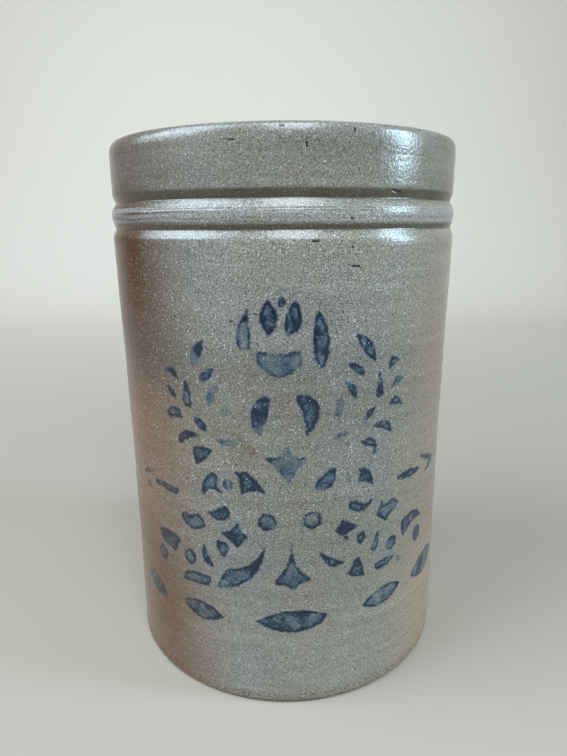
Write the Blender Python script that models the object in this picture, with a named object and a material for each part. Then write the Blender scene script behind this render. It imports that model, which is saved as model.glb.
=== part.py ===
"""Half-gallon stoneware canning jar, closed with a tin lid and a poured ring of sealing wax.

Three pieces come apart on a bench. The jar is thrown and fired in one piece. The stamped lid drops onto a
ledge inside the mouth. The wax fills the gutter between the lid's raised panel and the rim.
Sizes are in millimetres. The frame has +Z up and its origin at the centre of the base.
"""

import math

import bmesh
import bpy
from mathutils import Vector

MM = 0.001

# Facets: sides of each turned piece, and points along a round, a groove's flank, a wall and a soft curve
SIDES = 56
ROUND_STEPS = 4
FLANK_STEPS = 4
WALL_STEPS = 6
CURVE_STEPS = 6
SHARP_DEGREES = 50
WELD_DISTANCE = 0.001

# Jar, outside
JAR_HEIGHT = 201.7
FOOT_RADIUS = 66.1
SHOULDER_RADIUS = 66.7
WAIST_DRAW = 0.7
HEEL_ROUND = 2.2

# Collar and the two tooled grooves, counted down from the rim
COLLAR_HEIGHT = 17.9
COLLAR_INSET = 0.9
UPPER_GROOVE_OVERHANG = 3.2
UPPER_GROOVE_SLOPE = 2.2
UPPER_GROOVE_DEPTH = 1.1
BAND_HEIGHT = 4.9
BAND_INSET = 0.6
LOWER_GROOVE_OVERHANG = 2.0
LOWER_GROOVE_SLOPE = 3.0
LOWER_GROOVE_DEPTH = 0.6
GROOVE_EASE = 1.2

# Rim
RIM_THICKNESS = 8.6
RIM_CREST_INSET = 3.0
RIM_OUTER_ROUND = 4.0
RIM_SQUARENESS = 2.6
RIM_INNER_ROUND = 2.6
RIM_FLARE = 0.6

# Jar, inside
WALL_THICKNESS = 8.0
FLOOR_THICKNESS = 9.0
FLOOR_FILLET = 14.0
SEAT_DROP = 13.0
LEDGE_WIDTH = 8.8
LEDGE_THICKNESS = 6.0
LEDGE_EDGE_ROUND = 1.5
LEDGE_UNDERSIDE = 15.0

# Lid
TIN_THICKNESS = 0.5
LID_CLEARANCE = 0.7
LID_STEP_CLEARANCE = 0.6
LID_PANEL_HEIGHT = 5.5
LID_PANEL_DOME = 0.8
LID_CORNER_ROUND = 1.4
LID_EDGE_LIFT = 0.6
LID_EDGE_RUN = 1.2
LID_BEAD_INSET = 12.0
LID_BEAD_WIDTH = 5.0
LID_BEAD_HEIGHT = 0.9

# Wax
WAX_DEPTH = 4.6
WAX_MENISCUS = 1.1

# Gap left between pieces that touch
CONTACT_GAP = 0.3

# Heights and radii that follow from the sizes above
COLLAR_LOW = JAR_HEIGHT - COLLAR_HEIGHT
BAND_TOP = COLLAR_LOW - UPPER_GROOVE_OVERHANG - UPPER_GROOVE_SLOPE
BAND_LOW = BAND_TOP - BAND_HEIGHT
SHOULDER_HEIGHT = BAND_LOW - LOWER_GROOVE_OVERHANG - LOWER_GROOVE_SLOPE
COLLAR_RADIUS = SHOULDER_RADIUS - COLLAR_INSET
BAND_RADIUS = SHOULDER_RADIUS - BAND_INSET
CREST_RADIUS = COLLAR_RADIUS - RIM_CREST_INSET
SEAT_RADIUS = COLLAR_RADIUS - RIM_THICKNESS
THROAT_RADIUS = SEAT_RADIUS - LEDGE_WIDTH
SEAT_HEIGHT = JAR_HEIGHT - SEAT_DROP
LID_RADIUS = SEAT_RADIUS - LID_CLEARANCE
LID_PANEL_RADIUS = THROAT_RADIUS - LID_STEP_CLEARANCE

# Finishes: name, colour, roughness and metallic value
STONEWARE = ("salt_glazed_stoneware", (0.27, 0.255, 0.21), 0.38, 0.0)
TINPLATE = ("dull_tinplate", (0.42, 0.41, 0.39), 0.45, 0.9)
WAX = ("sealing_wax", (0.20, 0.035, 0.022), 0.42, 0.0)


def clear_scene():
    for old in list(bpy.data.objects):
        bpy.data.objects.remove(old)


def material(name, colour, roughness, metallic):
    made = bpy.data.materials.new(name)
    made.use_nodes = True
    shader = made.node_tree.nodes["Principled BSDF"]
    shader.inputs["Base Color"].default_value = (*colour, 1.0)
    shader.inputs["Roughness"].default_value = roughness
    shader.inputs["Metallic"].default_value = metallic
    return made


def shares(count):
    """The shares 1/count to 1, without the start, which the stretch before already holds."""
    return [step / count for step in range(1, count + 1)]


def rounded(centre, radii, start, end):
    """Points along an ellipse from the angle start to end, in degrees, after the first one."""
    angles = [math.radians(start + (end - start) * share) for share in shares(ROUND_STEPS)]
    return [(centre[0] + radii[0] * math.cos(a), centre[1] + radii[1] * math.sin(a)) for a in angles]


def rim_round():
    """The rim's outer round from its crest to the collar: an ellipse, squarer as RIM_SQUARENESS grows over 2."""
    centre = (CREST_RADIUS, JAR_HEIGHT - RIM_OUTER_ROUND)
    points = []
    for share in shares(CURVE_STEPS):
        angle = math.pi / 2 * (1 - share)
        across = max(0.0, math.cos(angle)) ** (2 / RIM_SQUARENESS)
        up = max(0.0, math.sin(angle)) ** (2 / RIM_SQUARENESS)
        points.append((centre[0] + RIM_CREST_INSET * across, centre[1] + RIM_OUTER_ROUND * up))
    return points


def turned(name, outline, finish, ring=False):
    """Spins a radius and height outline about the vertical axis. A ring's outline is a closed loop."""
    mesh = bpy.data.meshes.new(name)
    shape = bmesh.new()
    points = [shape.verts.new(Vector((radius, 0.0, height)) * MM) for radius, height in outline]
    for first, second in zip(points, points[1:]):
        shape.edges.new((first, second))
    if ring:
        shape.edges.new((points[-1], points[0]))
    profile = list(shape.verts) + list(shape.edges)
    turn = {"cent": (0, 0, 0), "axis": (0, 0, 1), "angle": math.tau, "steps": SIDES}
    bmesh.ops.spin(shape, geom=profile, use_merge=True, **turn)
    bmesh.ops.remove_doubles(shape, verts=shape.verts, dist=WELD_DISTANCE * MM)
    bmesh.ops.recalc_face_normals(shape, faces=shape.faces)
    shape.to_mesh(mesh)
    shape.free()
    mesh.shade_smooth()
    mesh.set_sharp_from_angle(angle=math.radians(SHARP_DEGREES))
    mesh.materials.append(finish)
    made = bpy.data.objects.new(name, mesh)
    bpy.context.scene.collection.objects.link(made)
    return made


def wall_radius(height):
    """Radius of the outer wall between foot and shoulder: a straight taper, drawn in at the waist."""
    share = height / SHOULDER_HEIGHT
    taper = FOOT_RADIUS + (SHOULDER_RADIUS - FOOT_RADIUS) * share
    return taper - WAIST_DRAW * math.sin(math.pi * share)


def groove(start, end, overhang, depth):
    """A tooled groove between two points of the outline: an overhang, a sharp bottom and a slope out."""
    bottom = (min(start[0], end[0]) - depth, start[1] - overhang)
    points = []
    for share in shares(FLANK_STEPS):
        radius = start[0] + (bottom[0] - start[0]) * share**GROOVE_EASE
        points.append((radius, start[1] + (bottom[1] - start[1]) * share))
    for share in shares(FLANK_STEPS):
        radius = end[0] + (bottom[0] - end[0]) * (1 - share) ** GROOVE_EASE
        points.append((radius, bottom[1] + (end[1] - bottom[1]) * share))
    return points


def jar_inside():
    """The inside, from the middle of the floor up to the crest of the rim."""
    fillet_top = FLOOR_THICKNESS + FLOOR_FILLET
    wall_top = SEAT_HEIGHT - LEDGE_THICKNESS - LEDGE_UNDERSIDE
    floor_radius = wall_radius(fillet_top) - WALL_THICKNESS - FLOOR_FILLET
    points = [(0.0, FLOOR_THICKNESS), (floor_radius, FLOOR_THICKNESS)]
    points += rounded((floor_radius, fillet_top), (FLOOR_FILLET, FLOOR_FILLET), -90, 0)
    for share in shares(WALL_STEPS):
        height = fillet_top + (wall_top - fillet_top) * share
        points.append((wall_radius(height) - WALL_THICKNESS, height))
    wall_end = points[-1][0]
    for share in shares(CURVE_STEPS):
        eased = (1 - math.cos(math.pi * share)) / 2
        points.append((wall_end + (THROAT_RADIUS - wall_end) * eased, wall_top + LEDGE_UNDERSIDE * share))
    edge_centre = (THROAT_RADIUS + LEDGE_EDGE_ROUND, SEAT_HEIGHT - LEDGE_EDGE_ROUND)
    points.append((THROAT_RADIUS, edge_centre[1]))
    points += rounded(edge_centre, (LEDGE_EDGE_ROUND, LEDGE_EDGE_ROUND), 180, 90)
    points.append((SEAT_RADIUS, SEAT_HEIGHT))
    mouth_radius = SEAT_RADIUS + RIM_FLARE
    lip_centre = (CREST_RADIUS, JAR_HEIGHT - RIM_INNER_ROUND)
    points.append((mouth_radius, lip_centre[1]))
    points += rounded(lip_centre, (CREST_RADIUS - mouth_radius, RIM_INNER_ROUND), 180, 90)
    return points


def jar_outside():
    """The outside, from the crest of the rim down to the middle of the base."""
    collar_end, band_start = (COLLAR_RADIUS, COLLAR_LOW), (BAND_RADIUS, BAND_TOP)
    band_end, shoulder = (BAND_RADIUS, BAND_LOW), (SHOULDER_RADIUS, SHOULDER_HEIGHT)
    points = rim_round()
    points.append(collar_end)
    points += groove(collar_end, band_start, UPPER_GROOVE_OVERHANG, UPPER_GROOVE_DEPTH)
    points.append(band_end)
    points += groove(band_end, shoulder, LOWER_GROOVE_OVERHANG, LOWER_GROOVE_DEPTH)
    for share in shares(WALL_STEPS):
        height = SHOULDER_HEIGHT + (HEEL_ROUND - SHOULDER_HEIGHT) * share
        points.append((wall_radius(height), height))
    heel_centre = (wall_radius(HEEL_ROUND) - HEEL_ROUND, HEEL_ROUND)
    points += rounded(heel_centre, (HEEL_ROUND, HEEL_ROUND), 0, -90)
    points.append((0.0, 0.0))
    return points


def stoneware_jar():
    """The jar: the inside and the outside of one wall, joined over the rim."""
    return turned("stoneware_jar", jar_inside() + jar_outside(), material(*STONEWARE))


def panel_height(radius):
    """Height of the lid's domed panel over the underside of its flange."""
    dome = LID_PANEL_DOME * (1 - (radius / LID_PANEL_RADIUS) ** 2)
    return TIN_THICKNESS + LID_PANEL_HEIGHT + dome


def lid_face():
    """The lid's upper face from its middle out: a domed panel with a bead, a step down and the flange."""
    bead_inner = LID_PANEL_RADIUS - LID_BEAD_INSET - LID_BEAD_WIDTH
    points = [(0.0, panel_height(0.0)), (bead_inner, panel_height(bead_inner))]
    for share in shares(CURVE_STEPS):
        radius = bead_inner + LID_BEAD_WIDTH * share
        points.append((radius, panel_height(radius) + LID_BEAD_HEIGHT * math.sin(math.pi * share) ** 2))
    corner_radius = LID_PANEL_RADIUS - LID_CORNER_ROUND
    corner_centre = (corner_radius, panel_height(corner_radius) - LID_CORNER_ROUND)
    foot_centre = (LID_PANEL_RADIUS + LID_CORNER_ROUND, TIN_THICKNESS + LID_CORNER_ROUND)
    rounds = (LID_CORNER_ROUND, LID_CORNER_ROUND)
    points.append((corner_radius, panel_height(corner_radius)))
    points += rounded(corner_centre, rounds, 90, 0)
    points.append((LID_PANEL_RADIUS, foot_centre[1]))
    points += rounded(foot_centre, rounds, 180, 270)
    points.append((LID_RADIUS - LID_EDGE_RUN, TIN_THICKNESS))
    points.append((LID_RADIUS, TIN_THICKNESS + LID_EDGE_LIFT))
    return points


def underside(face, thickness):
    """The back of a sheet whose face is given from the axis out, from its edge back to the axis."""
    before = [face[0], *face[:-1]]
    after = [*face[1:], face[-1]]
    back = []
    for (radius, height), start, end in zip(face, before, after):
        run, rise = end[0] - start[0], end[1] - start[1]
        length = math.hypot(run, rise)
        back.append((max(0.0, radius + thickness * rise / length), height - thickness * run / length))
    back[0] = (0.0, face[0][1] - thickness)
    return back[::-1]


def tin_lid():
    """The lid, whose origin is on its axis at the underside of its flange."""
    face = lid_face()
    made = turned("tin_lid", face + underside(face, TIN_THICKNESS), material(*TINPLATE))
    made.location = Vector((0.0, 0.0, SEAT_HEIGHT + CONTACT_GAP)) * MM
    return made


def wax_outline():
    """The wax ring's section, which nests in the lid's gutter, in the lid's own frame."""
    inner = LID_PANEL_RADIUS + CONTACT_GAP
    outer = SEAT_RADIUS - CONTACT_GAP
    low = TIN_THICKNESS + CONTACT_GAP
    high = low + WAX_DEPTH
    nest_centre = (LID_PANEL_RADIUS + LID_CORNER_ROUND, TIN_THICKNESS + LID_CORNER_ROUND)
    nest_radius = LID_CORNER_ROUND - CONTACT_GAP
    points = [(LID_RADIUS, low + LID_EDGE_LIFT), (LID_RADIUS - LID_EDGE_RUN, low), (nest_centre[0], low)]
    points += rounded(nest_centre, (nest_radius, nest_radius), 270, 180)
    points.append((inner, high))
    for share in shares(CURVE_STEPS):
        rise = (2 * share - 1) ** 2
        points.append((inner + (outer - inner) * share, high - WAX_MENISCUS * (1 - rise)))
    points.append((outer, low + LID_EDGE_LIFT))
    return points


def wax_seal(lid):
    """The wax, which rides on the lid and lifts with it."""
    made = turned("wax_seal", wax_outline(), material(*WAX), ring=True)
    made.parent = lid
    return made


def main():
    clear_scene()
    stoneware_jar()
    lid = tin_lid()
    wax_seal(lid)


main()
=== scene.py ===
"""Looks of a salt-glazed stoneware canning jar with a cobalt stencil, a tin lid and a ring of sealing wax.

Sizes are in millimetres and become metres where a mesh is made. The front of the jar faces -Y.
"""

import math

import bpy
import numpy as np
from mathutils import Matrix, Vector


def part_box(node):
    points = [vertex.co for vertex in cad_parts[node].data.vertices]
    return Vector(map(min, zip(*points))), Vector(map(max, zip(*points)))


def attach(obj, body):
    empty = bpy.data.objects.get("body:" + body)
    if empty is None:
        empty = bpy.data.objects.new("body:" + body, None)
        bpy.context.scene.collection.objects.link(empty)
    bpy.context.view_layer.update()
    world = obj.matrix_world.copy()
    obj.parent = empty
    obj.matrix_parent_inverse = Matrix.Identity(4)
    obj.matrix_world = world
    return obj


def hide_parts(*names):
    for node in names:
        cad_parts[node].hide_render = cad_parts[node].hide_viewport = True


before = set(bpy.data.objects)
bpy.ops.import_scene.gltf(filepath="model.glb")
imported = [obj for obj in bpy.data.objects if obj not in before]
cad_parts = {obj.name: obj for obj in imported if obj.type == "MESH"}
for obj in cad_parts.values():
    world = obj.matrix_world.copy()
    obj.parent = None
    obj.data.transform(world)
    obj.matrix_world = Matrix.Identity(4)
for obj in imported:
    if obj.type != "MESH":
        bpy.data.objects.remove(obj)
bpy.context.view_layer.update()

MM = 0.001

# Jar, with its height and its widest radius from the frame
JAR_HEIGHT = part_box("stoneware_jar")[1].z / MM
SHOULDER_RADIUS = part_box("stoneware_jar")[1].x / MM
FOOT_INSET = 0.6
FOOT_RADIUS = SHOULDER_RADIUS - FOOT_INSET
WAIST_DRAW = 0.7
HEEL_ROUND = 2.2
COLLAR_HEIGHT = 17.9
COLLAR_INSET = 0.9
COLLAR_RADIUS = SHOULDER_RADIUS - COLLAR_INSET
UPPER_GROOVE_OVERHANG = 3.2
UPPER_GROOVE_SLOPE = 2.2
UPPER_GROOVE_DEPTH = 1.1
BAND_HEIGHT = 4.9
BAND_INSET = 0.6
BAND_RADIUS = SHOULDER_RADIUS - BAND_INSET
BAND_CROWN = 0.45
BAND_CROWN_LEAN = 0.7
BAND_LINE_DEPTH = 0.14
BAND_LINE_SHARE = 0.16
BAND_LINE_SPREAD = 0.045
LOWER_GROOVE_OVERHANG = 2.0
LOWER_GROOVE_SLOPE = 3.0
LOWER_GROOVE_DEPTH = 0.6
GROOVE_EASE = 1.2
RIM_THICKNESS = 8.6
RIM_CREST_INSET = 3.0
RIM_OUTER_ROUND = 4.6
RIM_SQUARENESS = 2.6
RIM_INNER_ROUND = 2.6
RIM_FLARE = 0.6
WALL_THICKNESS = 8.0
FLOOR_THICKNESS = 9.0
FLOOR_FILLET = 14.0
SEAT_DROP = 13.0
LEDGE_WIDTH = 8.8
LEDGE_THICKNESS = 6.0
LEDGE_EDGE_ROUND = 1.5
LEDGE_UNDERSIDE = 15.0
COLLAR_LOW = JAR_HEIGHT - COLLAR_HEIGHT
BAND_TOP = COLLAR_LOW - UPPER_GROOVE_OVERHANG - UPPER_GROOVE_SLOPE
BAND_LOW = BAND_TOP - BAND_HEIGHT
SHOULDER_HEIGHT = BAND_LOW - LOWER_GROOVE_OVERHANG - LOWER_GROOVE_SLOPE
CREST_RADIUS = COLLAR_RADIUS - RIM_CREST_INSET
SEAT_RADIUS = COLLAR_RADIUS - RIM_THICKNESS
SEAT_HEIGHT = JAR_HEIGHT - SEAT_DROP
THROAT_RADIUS = SEAT_RADIUS - LEDGE_WIDTH

# Lid and wax
LID_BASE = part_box("tin_lid")[0].z / MM
LID_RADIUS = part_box("tin_lid")[1].x / MM
TIN_THICKNESS = 0.5
LID_PANEL_CLEARANCE = 0.6
LID_PANEL_RADIUS = THROAT_RADIUS - LID_PANEL_CLEARANCE
LID_PANEL_HEIGHT = 5.5
LID_PANEL_DOME = 0.8
LID_CORNER_ROUND = 1.4
LID_EDGE_LIFT = 0.6
LID_EDGE_RUN = 1.2
LID_BEAD_INSET = 12.0
LID_BEAD_WIDTH = 5.0
LID_BEAD_HEIGHT = 0.9
WAX_DEPTH = 4.6
WAX_MENISCUS = 1.1
WAX_RIPPLES = [(0.22, 5, 0.4), (0.16, 11, 1.9), (0.1, 23, 0.0)]
CONTACT_GAP = 0.3

# Mesh density: the decorated front is fine enough to carry the stencil's edges
FINE_STEP = 0.7
UPPER_STEP = 2.4
BACK_STEP = 5.0
FINE_HALF_ANGLE = math.radians(67)
STENCIL_LOW = 27.0
STENCIL_HIGH = 154.0
STENCIL_RADIUS = 66.0
STENCIL_MARGIN = 2.5
TONE_SOFTNESS = 0.5
BASE_ROWS = 5
LID_SPOKES = 192
WAX_SPOKES = 256

# Flaws in the glaze as strokes on the unrolled wall:
# start across and height, end across and height, half width
PITS = [
    (19.5, 161.0, 24.0, 160.0, 0.14),
    (21.0, 160.5, 23.0, 160.5, 0.34),
    (8.5, 168.0, 10.0, 168.0, 0.36),
    (-16.0, 196.5, -14.5, 196.5, 0.22),
    (-1.0, 200.0, 0.0, 200.0, 0.22),
    (6.5, 195.5, 6.5, 194.5, 0.34),
    (21.0, 199.5, 21.0, 199.0, 0.40),
    (20.5, 174.5, 21.0, 174.5, 0.30),
    (21.0, 166.5, 21.0, 166.0, 0.22),
    (-37.5, 144.5, -37.0, 144.5, 0.28),
    (-17.0, 144.0, -16.5, 144.0, 0.25),
    (-9.5, 146.5, -7.5, 146.0, 0.12),
]
NOTCH = (35.5, 183.0, 39.5, 182.0, 0.36)
NOTCH_EDGE = (35.5, 182.5, 37.0, 182.0, 0.22)
SCRATCH = (-26.0, 85.0, -15.5, 74.0, 0.10)
OCHRE_STAINS = [(-24.0, 108.0, -13.0, 100.0, 3.4), (-13.0, 100.0, -15.5, 89.0, 3.0)]

# Hand-thrown lean to the right at the foot and to the left at the rim
LEAN_AT_FOOT = 0.45
LEAN_AT_RIM = -0.40

# Other marks of throwing: how deep they are, and the height of one turn or one wave
SPIRAL_DEPTH = 0.04
SPIRAL_PITCH = 7.5
WANDER_DEPTH = 0.08
WANDER_LENGTH = 41.0
OVAL_DEPTH = 0.10
TRILOBE_DEPTH = 0.05

# Distances over which those marks fade at crest and heel, and the dirt and painted shade fade at a groove's
# top and bottom
TRUE_RUN = 6.0
HOLLOW_TOP_FADE = 0.8
HOLLOW_LOW_FADE = 0.7

# Sizes of the glaze's noise, its relief, and a stroke's fade in half widths
CLOUD_SIZE = 55.0
PATCH_SIZE = 11.0
STREAK_SIZE = 45.0
STREAK_SQUASH = (1.0, 1.0, 16.0)
TOOL_LINE_SIZE = 40.0
TOOL_LINE_SQUASH = (1.0, 1.0, 40.0)
GRAIN_SIZE = 0.45
PEEL_SIZE = 1.1
PAINTED_GLINT_SIZE = 0.55
GLAZE_RELIEF = 0.09
STROKE_FADE = (1.5, 0.6)

# Specks of painted white glint and of dark iron: millimetres between them, and how they go from none to full
# by the distance from a speck's middle, in those spacings, and by a random value of each speck
WHITE_SPACING = 1.6
WHITE_SIZE = (0.17, 0.06)
WHITE_CHANCE = (0.5, 1.0)
DARK_SPACING = 5.5
DARK_SIZE = (0.07, 0.03)
DARK_CHANCE = (0.4, 0.5)

# Sizes of the noise in the blue, the tin and the wax, the spacing of spangle and dimples, and relief
BLOTCH_SIZE = 4.0
MOTTLE_SIZE = 1.6
BROKEN_SIZE = 2.6
SPECKLE_SIZE = 0.9
SPANGLE_SPACING = 6.0
TIN_CLOUD_SIZE = 18.0
FRECKLE_SIZE = 2.2
TIN_SKIN_SIZE = 1.2
TIN_RELIEF = 0.03
WAX_CLOUD_SIZE = 16.0
WAX_RIPPLE_SIZE = 3.5
DIMPLE_SPACING = 2.6
WAX_RELIEF = 0.18

# Where the glaze changes, from none to full, as heights and places across in metres
LOW_WALL = (0.060, 0.032)
LEFT_FLUSH = (-0.017, -0.058)
# The tan on the right is partly a flush and partly a painted warm reflection of the floor
RIGHT_FLUSH_AND_REFLECTION = (0.030, 0.058)
RIGHT_FLUSH_AND_REFLECTION_FALL = (0.175, 0.120)
COLLAR_RISE = (0.176, 0.188)
SCORCH_TURN = (0.134, 0.106)
SCORCH_FOOT_TURN = (0.076, 0.046)
SHOULDER_LIGHT = (0.125, 0.160)
NECK_SHADE = (0.168, 0.183)
DIP_LOW = (0.098, 0.112)
DIP_HIGH = (0.142, 0.126)
LIVELY_RISE = (0.045, 0.090)
LIVELY_RIGHT = (0.030, 0.055)
LIVELY_COLLAR = (0.176, 0.186)
HEEL_STRIP = (0.0062, 0.0028)

# How much further in the left flush reaches on the low wall, in metres
LEFT_FLUSH_SHIFT = 0.006

# Edges of the band's painted highlight, the slip and the bare clay, from none to full in millimetres past the
# band's end, the crest or the heel, and how far the last two wander
BAND_FADE = (-0.3, 0.4)
SLIP_EDGE = (-4.6, -5.2)
SLIP_WANDER = 3.0
BARE_EDGE = (-0.4, 0.4)
BARE_WANDER = 2.0

# Strength of the grain everywhere, and what the lively glaze and the heel add to it
BASE_GRAIN = 1.8
LIVELY_GRAIN = 1.8
HEEL_GRAIN = 1.5

# Colours, linear. A tint multiplies the colour that it lies on.
GLAZE_GREY = (0.204, 0.200, 0.178)
GLAZE_BUFF = (0.213, 0.198, 0.162)
GLAZE_PALE = (0.250, 0.242, 0.220)
SCORCH_DARK = (0.056, 0.017, 0.002)
SCORCH_TAN = (0.178, 0.089, 0.045)
SCORCH_FOOT = (0.108, 0.050, 0.020)
# Tan on the right: partly a flush, partly a painted warm reflection of the floor
FLUSH_AND_REFLECTION_TAN = (0.290, 0.214, 0.148)
# Painted highlight: light grey streaks along the band's tool lines
BAND_PAINTED_HIGHLIGHT = (0.40, 0.41, 0.42)
HEEL_TINT = (0.94, 0.84, 0.74)
# Dirt in the grooves, darkened further as painted shade under their overhangs
GROOVE_DIRT_AND_SHADE = (0.055, 0.044, 0.023)
OCHRE = (0.130, 0.104, 0.055)
# Painted glints: light flecks that stand in for highlights on the orange peel
PAINTED_GLINT = (0.58, 0.60, 0.59)
# White specks are painted glints: highlights on tiny bumps, drawn as colour
PAINTED_GLINT_SPECK = (0.62, 0.64, 0.63)
DARK_SPECK = (0.04, 0.034, 0.026)
PIT_BLACK = (0.016, 0.012, 0.008)
CHIP_PALE = (0.60, 0.60, 0.58)
SCRATCH_PALE = (0.55, 0.55, 0.53)
SLIP_DARK = (0.055, 0.026, 0.014)
SLIP_LIGHT = (0.085, 0.042, 0.022)
BARE_LIGHT = (0.33, 0.27, 0.19)
BARE_DARK = (0.25, 0.2, 0.15)
COBALT_HALO = (0.138, 0.162, 0.198)
COBALT_WASH = (0.020, 0.060, 0.097)
COBALT_DEEP = (0.000, 0.009, 0.030)
SCORCHED_WASH = (0.048, 0.046, 0.052)
SCORCHED_DEEP = (0.014, 0.012, 0.016)
TIN_GREY = (0.44, 0.43, 0.41)
TIN_RUST = (0.16, 0.07, 0.03)
WAX_DARK = (0.125, 0.016, 0.010)
WAX_RED = (0.185, 0.032, 0.018)
WAX_DUST = (0.25, 0.10, 0.08)
FLOOR_NEAR = (0.34, 0.29, 0.235)
FLOOR_FAR = (0.82, 0.74, 0.65)
SKY_COLOUR = (1.0, 0.96, 0.90)
SKY_STRENGTH = 0.20

# How the blue lies: its edge, the dark pool inside it and the halo outside it, by depth in millimetres
EDGE_RAG = 2.0
EDGE_SHIFT = 0.75
COVER_EDGE = (-0.50, 0.45)
POOL_EDGE = (1.40, 0.35)
HALO_EDGE = (-1.8, 0.2)

# Share of the halo that the scorch hides
SCORCHED_HALO = 0.8

# Strength of pigment over which the wash turns deep
DEEP_TURN = (0.55, 1.25)

# Camera, as fitted to the jar's outline
IMAGE_WIDTH = 567
IMAGE_HEIGHT = 756
FOCAL_PIXELS = 568.0
SENSOR_WIDTH = 36.0
CAMERA_PLACE = (-0.5, -239.3, 173.0)
CAMERA_PITCH = math.radians(15.16)
CAMERA_ROLL = math.radians(-0.40)


def oval(across, height, half_width, half_height):
    """Corners of an upright oval mark, at the ends of its two axes."""
    bow = (math.sqrt(2) - 1) * half_width * half_height / math.hypot(half_width, half_height)
    right, top = (across + half_width, height, bow), (across, height + half_height, bow)
    left, low = (across - half_width, height, bow), (across, height - half_height, bow)
    return [right, top, left, low]


# The cobalt stencil. Each mark is a body tone, a rim tone and an outline on the unrolled wall.
# A corner is (distance right of the front line, height, bow of the edge to the next corner).
# Corners run counter-clockwise, and a positive bow swells the mark. A body tone may be given per corner.
FLOWER = [
    (1.3, 1.0, oval(-1.0, 150.0, 1.0, 1.0)),
    ((0.7, 0.8), 0.7, [(-5.0, 140.0, 2.5), (-5.0, 150.5, 2.5)]),
    ((0.45, 0.9, 0.8), 0.9, [(0.5, 139.5, 0.3), (4.5, 142.0, 1.2), (3.0, 150.5, 1.2)]),
    (
        (0.35, 0.3, 0.3, 0.9),
        0.6,
        [(-15.0, 136.0, 0.5), (-11.5, 135.5, 0.2), (-11.0, 140.5, -0.3), (-11.5, 147.5, 1.2)],
    ),
    ((0.6, 0.6, 0.9), 1.0, [(10.5, 130.0, 0.6), (12.5, 130.0, 2.2), (10.5, 147.0, 1.4)]),
    (
        (0.5, 0.25, 0.35, 0.7),
        0.6,
        [(-8.5, 134.5, 0.1), (-8.5, 131.0, 4.2), (5.0, 130.5, 0.2), (4.5, 134.5, -1.1)],
    ),
    (
        (0.55, 1.4, 1.3, 0.8),
        0.1,
        [(-8.5, 106.5, 0.5), (-5.0, 118.5, 0.5), (-7.5, 119.5, 1.2), (-11.0, 111.5, 0.6)],
    ),
    (
        (0.5, 0.85, 0.75, 0.7),
        0.8,
        [(7.0, 106.5, 1.2), (11.0, 116.0, 1.5), (4.5, 120.0, 0.3), (4.0, 118.0, -0.8)],
    ),
    (
        (0.45, 0.5, 0.4, 0.4, 0.65),
        0.25,
        [(1.0, 90.0, -0.2), (7.0, 98.5, -0.6), (2.0, 99.5, 2.5), (-1.5, 99.5, -0.6), (-6.5, 98.5, -0.2)],
    ),
]

WREATH_LEFT = [
    ((0.25, 1.1), 0.15, [(-31.5, 128.0, 1.1), (-27.0, 137.0, 2.2)]),
    ((0.3, 0.8), 0.5, [(-29.0, 123.5, 1.2), (-23.5, 128.0, 1.4)]),
    (0.42, 0.1, [(-26.0, 115.5, 0.8), (-22.5, 122.5, 1.8)]),
    (0.15, 0.0, [(-20.5, 112.0, 0.9), (-19.5, 117.0, 0.9)]),
    (0.65, 1.0, [(-35.5, 114.5, 0.1), (-33.0, 114.0, 0.5), (-34.5, 123.0, 0.8)]),
    (0.75, 1.0, [(-38.0, 123.0, 2.6), (-44.0, 125.5, -0.6)]),
    (0.45, 0.9, [(-39.5, 116.5, 1.1), (-43.5, 120.0, 0.8)]),
    (0.6, 0.9, [(-43.0, 109.0, -0.2), (-37.0, 109.5, 3.0), (-44.0, 110.5, 0.1)]),
    (0.85, 0.9, [(-27.5, 106.5, 1.5), (-32.0, 110.5, 1.2)]),
    (
        (0.6, 0.5, 0.9, 1.0, 0.7, 0.5),
        1.0,
        [
            (-39.0, 100.0, 0.0),
            (-37.0, 101.0, -0.2),
            (-34.5, 103.0, 0.0),
            (-31.0, 104.0, 0.4),
            (-35.5, 105.0, 0.2),
            (-38.5, 103.5, 0.1),
        ],
    ),
    ((0.8, 0.7, 0.6), 0.9, [(-31.5, 94.0, 0.4), (-25.5, 99.5, 0.7), (-32.5, 99.5, 0.8)]),
    ((0.15, 0.65), 0.1, [(-16.0, 102.5, 1.0), (-23.0, 103.5, 1.0)]),
]

WREATH_RIGHT = [
    ((0.75, 0.65), 1.0, [(30.5, 130.0, 2.3), (23.5, 139.0, 1.0)]),
    (0.85, 0.9, [(26.5, 125.5, 1.5), (21.0, 129.5, 0.5)]),
    (0.7, 0.9, [(23.5, 118.0, 1.8), (20.0, 123.5, 0.2)]),
    (0.35, 0.2, [(17.5, 111.5, 1.3), (18.5, 119.0, 1.2)]),
    (0.85, 0.9, [(31.5, 117.5, 0.3), (34.0, 118.0, 0.6), (32.5, 125.5, -0.2)]),
    (0.45, 1.0, [(36.5, 126.5, -0.1), (41.0, 129.0, 2.4)]),
    (0.4, 1.0, [(38.5, 120.0, -0.2), (43.5, 122.0, 1.9)]),
    (0.55, 1.0, [(37.5, 113.5, -0.6), (43.0, 113.0, 2.8)]),
    (0.75, 0.8, [(27.0, 109.5, 0.9), (31.0, 113.5, 0.9)]),
    ((0.95, 0.5), 0.9, [(39.0, 103.5, 2.8), (31.5, 107.0, -0.4)]),
    (0.5, 0.9, [(32.5, 99.5, 2.1), (26.5, 102.0, 0.4)]),
    (0.45, 0.3, oval(32.0, 98.0, 0.5, 0.7)),
    ((0.7, 0.3), 0.3, [(16.5, 105.0, 0.4), (21.5, 106.5, 0.4)]),
]

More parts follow.
